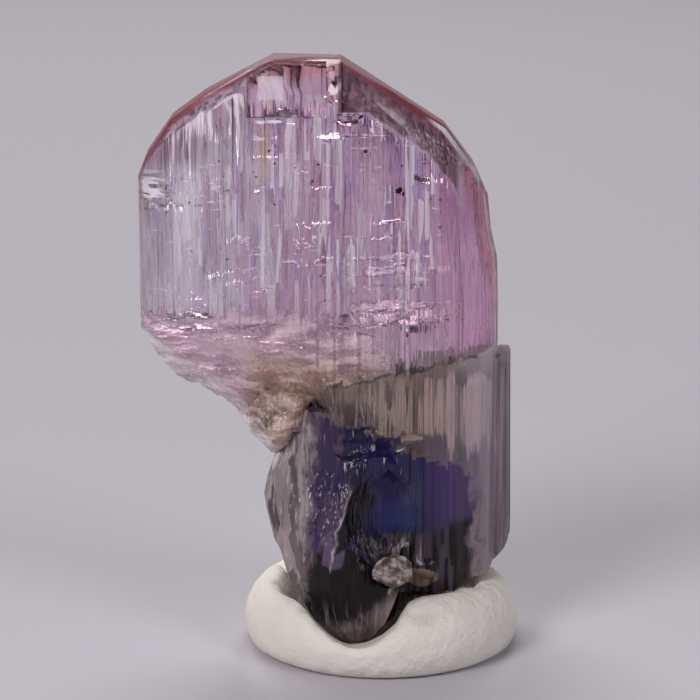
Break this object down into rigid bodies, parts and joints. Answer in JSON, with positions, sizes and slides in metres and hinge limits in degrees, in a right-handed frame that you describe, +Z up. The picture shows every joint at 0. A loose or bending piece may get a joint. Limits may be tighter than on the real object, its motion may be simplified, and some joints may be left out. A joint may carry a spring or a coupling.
{
  "type": "tanzanite crystal",
  "caption": "Striated lilac to violet-blue tanzanite crystal with a faceted top and a broken lower side, standing in a pressed disc of white mounting putty.",
  "frame": {"origin": "centre of the putty disc's flat underside", "axes": "+Z up along the crystal's length, +X to the right across its broad face as in the picture, +Y back through its thickness"},
  "size_m": [0.0152, 0.0112, 0.0238],
  "materials": {
    "tanzanite": "clear, glossy, striated",
    "pale_grain": "sugary, half clear",
    "putty": "smooth, matt"
  },
  "bodies": {
    "root": {"tanzanite_crystal": "tanzanite", "calcite_grain": "pale_grain", "putty_base": "putty"}
  },
  "joints": []
}
